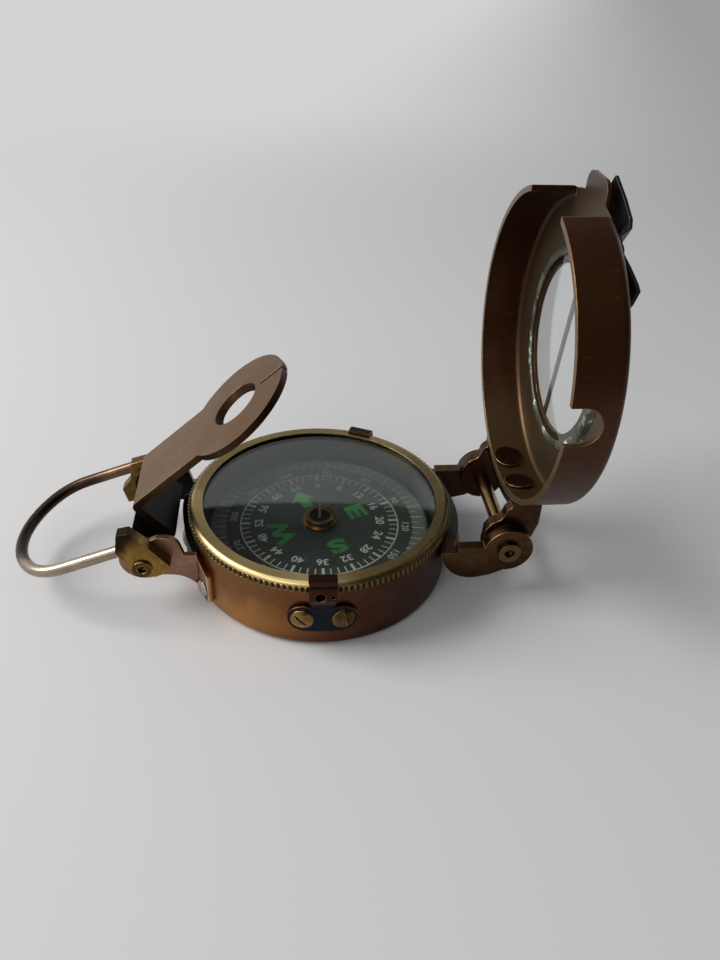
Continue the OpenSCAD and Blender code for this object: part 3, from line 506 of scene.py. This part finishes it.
def metal(name, base, dark, tint, bright, amount, size, wear, rough, radius=0.22, metallic=1.0,
          shade=None):
    """Aged metal from four linear colours. Amount and size are of the tarnish, wear and radius (mm)
    of the worn edges, rough runs from clean to dull, and shade adds the part's own zones."""
    mat, net, p = new_material(name)
    edges = net.node("ShaderNodeGroup", {"Radius": radius * MM, "Wear": wear, "Place": p},
                     node_tree=EDGES).outputs
    skin = net.node("ShaderNodeGroup",
                    {"Place": p, "Base": (*base, 1), "Dark": (*dark, 1), "Tint": (*tint, 1),
                     "Bright": (*bright, 1), "Edge": edges["Edge"], "Amount": amount, "Size": size},
                    node_tree=TARNISH).outputs
    colour, dull = skin["Color"], skin["Dull"]
    if shade is not None:
        colour, dull, metallic = shade(net, p, colour, dull, metallic)
    net.end(net.surface(
        Base_Color=colour, Metallic=metallic,
        Roughness=net.step(dull, 0.0, 0.8, *rough, kind="LINEAR"),
        Normal=net.bump(skin["Height"], *METAL_RELIEF, edges["Normal"])))
    return mat


def coat(name, colour, dark, rough, specks=0.3, metallic=0.0, relief=0.06):
    """A painted or moulded finish with fine grain and a few darker clouds and specks."""
    mat, net, p = new_material(name)
    grain = net.noise(p, 700.0, 4.0, 0.6)
    tone = (*colour, 1)
    for mask in (net.step(net.noise(p, 90.0, 3.0), 0.35, 0.7, 0.0, specks),
                 net.step(grain, 0.45, 0.75, 0.0, specks)):
        tone = net.mix(mask, tone, (*dark, 1))
    net.end(net.surface(
        Base_Color=tone, Metallic=metallic,
        Roughness=net.step(grain, 0.3, 0.7, rough - 0.08, rough + 0.08, kind="LINEAR"),
        Normal=net.bump(grain, relief, GRAIN_RISE)))
    return mat


def printed(name, colour, ground, far_shade):
    """Silk-screened figures, thinned all over by worn grain, and dimmed by painted shade from full
    at the south of the dial towards the north, where the ground shows through by the share
    far_shade."""
    mat, net, p = new_material(name)
    grain = net.noise(p, FINE_GRAIN, 4.0, 0.6)
    # Painted shade dims the figures towards the north; worn grain thins them all over.
    shade_and_wear = net.most(net.fade(net.split(p)[1], (0.0, 14.0), 0.0, far_shade),
                    net.step(grain, 0.5, 0.75, 0.0, 0.3))
    net.end(net.surface(
        Base_Color=net.mix(shade_and_wear, (*colour, 1), (*ground, 1)),
        Roughness=net.step(net.noise(p, 500.0, 3.0), 0.3, 0.7, 0.52, 0.68),
        Normal=net.bump(grain, 0.06, GRAIN_RISE)))
    return mat


def cement(name):
    """Old glass cement: dark olive in paler clouds, with pale green-white specks of painted glint
    that are smoother too.
    """
    mat, net, p = new_material(name)
    grain = net.noise(p, FINE_GRAIN, 3.0, 0.6)
    cloud = net.step(net.noise(p, 160.0, 3.0), 0.4, 0.65)
    glint_specks = net.times(net.step(grain, 0.56, 0.62), cloud)
    tone = net.tone(cloud, (*lin(40, 38, 28), 1), 84, 88, 68)
    net.end(net.surface(
        # Painted glints: pale specks.
        Base_Color=net.tone(glint_specks, tone, 206, 216, 200),
        Roughness=net.step(glint_specks, 0.0, 1.0, 0.4, 0.15),
        Normal=net.bump(grain, 0.6, 0.06)))
    return mat


def glass(name, tint, smears):
    """Clear flat glass, faintly tinted, with soft smears in its roughness. Shadow rays pass."""
    mat, net, p = new_material(name)
    haze = net.noise(p, 60.0, 4.0, 0.6)
    body = net.surface(Base_Color=(*tint, 1), Roughness=net.step(haze, 0.45, 0.75, 0.0, smears),
                       Metallic=0.0, Transmission_Weight=1.0, IOR=GLASS_IOR)
    clear = net.node("ShaderNodeBsdfTransparent", {0: (*tint, 1)}).outputs[0]
    net.end(net.either(net.node("ShaderNodeLightPath").outputs["Is Shadow Ray"], body, clear))
    return mat


def pale_floor(name, colour):
    """Lit round the object, and from there on a glowing tone of painted light, paler to the left
    and the back, that only the camera, gloss and glass see."""
    near, middle, shaded, rough = (60.0, 500.0), 10.0, 0.96, 0.9
    fall, black, white = ((-220.0, 200.0), 0.34, 0.66), (0.0, 0.0, 0.0, 1), (0.985, 0.99, 1.0, 1)
    mat, net, p = new_material(name)
    x, y, _ = net.split(p)
    cloud = net.step(net.noise(p, 3.0, 2.0), 0.3, 0.7, 0.0, 0.3)
    lit = net.surface(Base_Color=net.mix(cloud, (*colour, 1), (*(c * shaded for c in colour), 1)),
                      Roughness=rough)
    far = net.fade(net.reach(net.less(x, middle * MM), net.less(y, middle * MM)), near)
    # Painted light: the far floor glows, paler to the left and the back.
    level = net.fade(net.less(net.times(y, 0.35), x), *fall)
    flat = net.node("ShaderNodeEmission", {0: net.mix(level, black, white)}).outputs[0]
    ray = net.node("ShaderNodeLightPath").outputs
    bent = net.most(ray["Is Glossy Ray"], ray["Is Transmission Ray"])
    seen = net.most(ray["Is Camera Ray"], bent)
    net.end(net.either(net.times(far, seen), lit, flat))
    return mat


# ---------------------------------------------------------------- which node wears what

def paint(material, *names):
    """Gives the named nodes one material in place of their own."""
    for n in names:
        materials = nodes[n].data.materials
        materials.clear()
        materials.append(material)


# Each metal: the nodes that wear it, its base, dark, tint and bright colours in sRGB, and the rest
METALS = {
    "case brass": (
        ["case_cup"], (150, 98, 58), (66, 40, 30), (112, 66, 42), (206, 164, 110),
        dict(amount=0.75, size=0.7, wear=0.7, rough=(0.26, 0.5), shade=shade_case)),
    "bezel brass": (
        ["bezel_ring", "glass_retaining_ring"],
        (178, 154, 102), (90, 74, 44), (150, 127, 80), (226, 204, 152),
        dict(amount=0.5, size=1.0, wear=0.8, rough=(0.26, 0.46), radius=0.1, shade=shade_bezel)),
    "bracket brass": (
        ["sight_bracket"], (176, 144, 122), (98, 72, 58), (154, 118, 96), (232, 200, 156),
        dict(amount=0.6, size=1.0, wear=0.95, rough=(0.3, 0.55), shade=shade_bracket)),
    "eye arm brass": (
        ["sight_arm"], (124, 99, 69), (86, 62, 42), (114, 85, 58), (182, 150, 112),
        dict(amount=0.6, size=0.6, wear=0.5, rough=(0.32, 0.55), radius=0.2, shade=shade_arm)),
    "loop brass": (
        ["thumb_loop"], (150, 128, 106), (44, 32, 27), (104, 78, 62), (238, 226, 204),
        dict(amount=0.9, size=1.2, wear=0.5, rough=(0.2, 0.36), radius=0.15, shade=shade_loop)),
    "pin brass": (
        ["sight_hinge_spacers", "sight_hinge_pin"],
        (104, 74, 42), (44, 30, 18), (84, 54, 34), (226, 188, 120),
        dict(amount=0.7, size=1.6, wear=1.0, rough=(0.2, 0.42), radius=0.3)),
    "spindle brass": (
        ["lid_hinge_pin"], (200, 170, 112), (60, 44, 28), (150, 118, 72), (244, 222, 170),
        dict(amount=0.7, size=1.4, wear=0.9, rough=(0.14, 0.34), radius=0.14, shade=shade_spindle)),
    "rivet steel": (
        ["sight_bracket_rivets"], (206, 196, 184), (90, 74, 64), (180, 160, 144), (244, 238, 228),
        dict(amount=0.6, size=2.0, wear=0.6, rough=(0.14, 0.3), radius=0.15)),
    "lug brass": (
        ["thumb_loop_lugs"], (160, 128, 66), (50, 36, 16), (120, 92, 44), (226, 196, 130),
        dict(amount=1.0, size=1.4, wear=0.8, rough=(0.2, 0.42), radius=0.25, shade=shade_lug)),
    "screw brass": (
        ["bezel_spring_screws", "rear_clip_screws", "sight_bracket_screw", "lid_hinge_base_rivets"],
        (156, 122, 72), (46, 32, 20), (110, 80, 46), (236, 206, 146),
        dict(amount=0.9, size=1.6, wear=0.9, rough=(0.16, 0.36), radius=0.14)),
    "clip bronze": (
        ["bezel_spring", "rear_bezel_clip"],
        (70, 44, 33), (22, 15, 12), (52, 32, 25), (176, 132, 88),
        dict(amount=0.7, size=1.2, wear=0.95, rough=(0.2, 0.42), shade=shade_clip)),
    "lid bracket brass": (
        ["lid_hinge_base"], (94, 68, 44), (34, 24, 17), (70, 46, 30), (206, 168, 112),
        dict(amount=0.75, size=1.0, wear=0.95, rough=(0.24, 0.5), shade=shade_base)),
    "lid bronze": (
        ["lid_shell"], (76, 45, 21), (42, 26, 13), (68, 38, 18), (190, 152, 102),
        dict(amount=0.5, size=0.8, wear=0.8, rough=(0.3, 0.5), radius=0.2, metallic=0.75,
             shade=shade_lid)),
    "lid strap bronze": (
        ["lid_hinge_strap", "lid_strap_rivets"],
        (76, 52, 36), (30, 21, 15), (62, 40, 28), (196, 158, 104),
        dict(amount=0.6, size=1.0, wear=0.9, rough=(0.26, 0.5), radius=0.25)),
    "cap brass": (
        ["dial_cap", "pivot_post"], (160, 120, 60), (46, 32, 17), (110, 78, 38), (244, 206, 130),
        dict(amount=0.6, size=2.0, wear=0.7, rough=(0.12, 0.28), radius=0.12, shade=shade_cap)),
    "blackened steel": (
        ["lid_catch_spring", "lid_catch_rivets"],
        (30, 28, 27), (12, 11, 11), (34, 26, 22), (110, 104, 98),
        dict(amount=0.5, size=1.2, wear=0.4, rough=(0.32, 0.6), radius=0.15, metallic=0.4)),
    "ground steel": (
        ["pivot_needle"], (190, 190, 188), (120, 120, 118), (172, 170, 166), (230, 230, 228),
        dict(amount=0.3, size=2.0, wear=0.4, rough=(0.2, 0.35), radius=0.05)),
    "magnet steel": (
        ["dial_magnets"], (110, 112, 116), (56, 56, 58), (92, 90, 90), (170, 170, 172),
        dict(amount=0.4, size=1.5, wear=0.6, rough=(0.3, 0.5), radius=0.1)),
}

for metal_name, (wearers, *colours, look) in METALS.items():
    paint(metal(metal_name, *(lin(*c) for c in colours), **look), *wearers)
paint(coat("dial black", lin(24, 30, 26), lin(14, 18, 16), rough=0.6, specks=0.2, relief=0.01),
      "dial_card")
paint(coat("jewel red", lin(140, 30, 40), lin(90, 16, 26), rough=0.2), "dial_cap_jewel")
paint(cement("glass cement"), "lid_glass_cement")
paint(coat("sight strip brown", lin(46, 37, 31), lin(28, 22, 18), rough=0.4, metallic=0.85),
      "sight_line")
paint(glass("bezel glass", (0.93, 0.97, 0.95), 0.004), "bezel_glass")
paint(glass("lid glass", (0.92, 0.96, 0.95), 0.03), "lid_glass")


# ---------------------------------------------------------------- dial print

# Radii, lengths and lifts above the card in millimetres, bearings in degrees clockwise from north.
# Long and short marks have a reach and a width, figures a height, boldness and stretch, and the
# letters a bearing of their own before them.
CARD_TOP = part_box("dial_card")[1][2] / MM
NORTH = 112.0
PRINT_LIFT, BAND_LIFT = 0.03, 0.015
MILS, MIL_STEP = 64, 360 / 64
MIL_RING, MIL_RING_HALF, MIL_FIGURES = 17.5, 0.14, 13.5
MIL_LONG, MIL_SHORT, MIL_FIGURE = (-2.1, 0.62), (-1.9, 0.26), (1.95, 0.025, 1.05)
DEGREE_RING, DEGREE_FIGURES = 20.6, 19.15
DEGREE_LONG, DEGREE_SHORT, DEGREE_FIGURE = (2.7, 0.3), (1.6, 0.2), (1.6, 0.012, 1.05)
BAND = 20.8, 23.9
LETTER_RING, ARROW_RING = 9.1, 9.0
LETTERS = {"E": (90, 4.4, 0.045, 1.65), "S": (180, 4.5, 0.045, 1.55), "W": (270, 4.5, 0.045, 1.25)}
ARROW = np.array([(-1.1, -3.2), (1.1, -3.2), (1.1, -0.2), (2.9, -0.2), (0, 3.2), (-2.9, -0.2),
                  (-1.1, -0.2)])
ARROW_FACES = [[0, 1, 2, 6], [2, 3, 4, 5, 6]]


def turned(shape, bearing, radius):
    """A flat shape set on the card with its top outwards: its x runs across the bearing, and its y
    adds to the radius along it."""
    points, faces = shape
    a = math.radians(NORTH - bearing)
    across, out = (math.sin(a), -math.cos(a)), (math.cos(a), math.sin(a))
    flat = np.outer(points[:, 0], across) + np.outer(points[:, 1] + radius, out)
    return np.column_stack([flat, np.full(len(flat), CARD_TOP + PRINT_LIFT)]), faces


def tick(reach, width):
    """A graduation mark: a rectangle from its ring to its reach, outwards or (negative) inwards,
    half its width to each side and wound so that it faces up."""
    half = math.copysign(width / 2, reach)
    return np.array([(half, 0.0), (half, reach), (-half, reach), (-half, 0.0)]), [[0, 1, 2, 3]]


def figures(text, height, bold, stretch):
    """Plain figures from Blender's own letter curves, centred: scaled to a height, then widened."""
    curve = bpy.data.curves.new("figures", "FONT")
    curve.body = text
    curve.align_x, curve.align_y = "CENTER", "CENTER"
    curve.size = 1.0
    curve.offset = bold
    curve.resolution_u = 3
    obj = bpy.data.objects.new("figures", curve)
    bpy.context.collection.objects.link(obj)
    mesh = obj.to_mesh()
    points = np.empty(len(mesh.vertices) * 3)
    mesh.vertices.foreach_get("co", points)
    points = points.reshape(-1, 3)[:, :2]
    faces = [list(poly.vertices) for poly in mesh.polygons]
    obj.to_mesh_clear()
    bpy.data.objects.remove(obj)
    low, high = points.min(0), points.max(0)
    points = (points - (low + high) / 2) * height / (high[1] - low[1])
    return points * [stretch, 1.0], faces


def flat_ring(r_in, r_out, lift, steps=180):
    """Flat ring: cosine and sine of an even angle times each of two radii, closed on itself."""
    a = np.linspace(0, 2 * math.pi, steps, endpoint=False)
    height = np.full(steps, CARD_TOP + lift)
    points = np.vstack([np.column_stack([r * np.cos(a), r * np.sin(a), height])
                        for r in (r_in, r_out)])
    this = np.arange(steps)
    following = (this + 1) % steps
    faces = np.column_stack([this, this + steps, following + steps, following])
    return points, faces.tolist()


def dial_piece(name, parts, material):
    """One printed piece from (points, faces) parts: each part's faces count on from the last's."""
    starts = np.cumsum([0] + [len(points) for points, _ in parts]).tolist()
    faces = [[start + i for i in face] for start, (_, rows) in zip(starts, parts) for face in rows]
    obj = mesh_object(name, np.vstack([points for points, _ in parts]), faces, material)
    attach(obj, "dial")


dial_piece(
    "dial_mil_scale",
    [flat_ring(MIL_RING - MIL_RING_HALF, MIL_RING + MIL_RING_HALF, PRINT_LIFT)]
    + [turned(tick(*(MIL_SHORT if n % 4 else MIL_LONG)), n * MIL_STEP, MIL_RING)
       for n in range(MILS)]
    + [turned(figures(str(n), *MIL_FIGURE), n * MIL_STEP, MIL_FIGURES)
       for n in range(4, MILS + 1, 4)],
    printed("dial print", lin(158, 158, 146), lin(34, 42, 36), 0.82))
dial_piece(
    "dial_degree_scale",
    [turned(tick(*(DEGREE_SHORT if n % 10 else DEGREE_LONG)), n, DEGREE_RING)
     for n in range(0, 360, 5)]
    + [turned(figures(str(n), *DEGREE_FIGURE), n, DEGREE_FIGURES) for n in range(30, 361, 30)],
    printed("degree print", lin(150, 152, 140), lin(58, 64, 58), 0.9))
dial_piece("dial_outer_band", [flat_ring(*BAND, BAND_LIFT)],
           printed("dial scale band", lin(80, 84, 76), lin(34, 40, 35), 0.9))
dial_piece(
    "dial_letters",
    [turned(figures(text, *form), bearing, LETTER_RING)
     for text, (bearing, *form) in LETTERS.items()]
    + [turned((ARROW, ARROW_FACES), 0, ARROW_RING)],
    coat("dial green", lin(32, 104, 43), lin(22, 70, 30), rough=0.6))


# ---------------------------------------------------------------- floor, light and camera

FLOOR_HALF, FLOOR_Z = 2500, -0.02
SOFTBOX_LEVEL, GAP_SHARE = 1.4, 0.08
CARD_SLANT, CARD_LEVELS = 0.16, (0.11, 0.8)
BLACK, COOL, NEUTRAL = (0.0, 0.0, 0.0, 1), (0.94, 0.97, 1.0, 1), (0.98, 0.99, 1.0, 1)


def make_world():
    """What metal and glass mirror, and the plain light of everything else, both falling from left
    to right. A direction's parts are dx to the right, dy to the back and dz up. Mirrored are also a
    softbox overhead on the left, a card low at the back that veils the far half of the dial's
    glass, and a dark gap between them that keeps the near half clear."""
    overhead, left_of = (0.74, 0.82), (0.0, 0.16)
    card_top, card_back = (0.606, 0.613), (0.15, 0.3)
    gap_top, gap_back, gap_side = (0.71, 0.77), (0.25, 0.4), (0.35, 0.6)
    mirrored_fall, plain_fall = (-0.75, 0.5, 0.8, 0.04), (-0.9, 0.9, 0.42, 0.24)
    world = bpy.data.worlds.new("studio")
    world.use_nodes = True
    bpy.context.scene.world = world
    world.node_tree.nodes.clear()
    net = Net(world.node_tree)
    dx, dy, dz = net.split(net.place("Generated"))
    side = net.plus(net.times(dx, 0.9), net.times(dy, -0.3))
    softbox = net.times(net.step(dz, *overhead), net.step(dx, *left_of, 1.0, 0.0))
    level = net.most(net.step(side, *mirrored_fall), net.times(softbox, SOFTBOX_LEVEL))
    gap = net.times(net.step(dy, *gap_back), net.step(net.size(dx), *gap_side, 1.0, 0.0),
                    net.times(net.step(dz, *card_top), net.step(dz, *gap_top, 1.0, 0.0)))
    card = net.times(net.step(dz, *card_top, 1.0, 0.0), net.step(dy, *card_back))
    card_level = net.step(net.less(dx, net.times(dy, CARD_SLANT)), -0.02, 0.1, *CARD_LEVELS)
    level = net.most(net.dim(level, gap, GAP_SHARE), net.times(card, card_level))
    plain = net.mix(net.step(side, *plain_fall), BLACK, NEUTRAL)
    mirrored = net.node("ShaderNodeLightPath").outputs["Is Glossy Ray"]
    colour = net.mix(mirrored, plain, net.mix(level, BLACK, COOL))
    sky = net.node("ShaderNodeBackground", {"Color": colour, "Strength": 1.0}).outputs[0]
    net.node("ShaderNodeOutputWorld", {0: sky})


floor = mesh_object("floor", [(x * FLOOR_HALF, y * FLOOR_HALF, FLOOR_Z)
                              for x, y in ((-1, -1), (1, -1), (1, 1), (-1, 1))],
                    [[0, 1, 2, 3]], pale_floor("pale floor", (0.62, 0.62, 0.63)))
make_world()
lamp("window", place=(-560, 60, 430), aim=(0, 0, 10), size=(400, 400), power=4.8,
     colour=(1.0, 0.98, 0.95))
lamp("fill", place=(-320, -520, 400), aim=(0, 0, 10), size=(380, 300), power=0.8,
     colour=(1.0, 0.98, 0.96))
add_camera()
bpy.context.scene.view_settings.view_transform = "Standard"
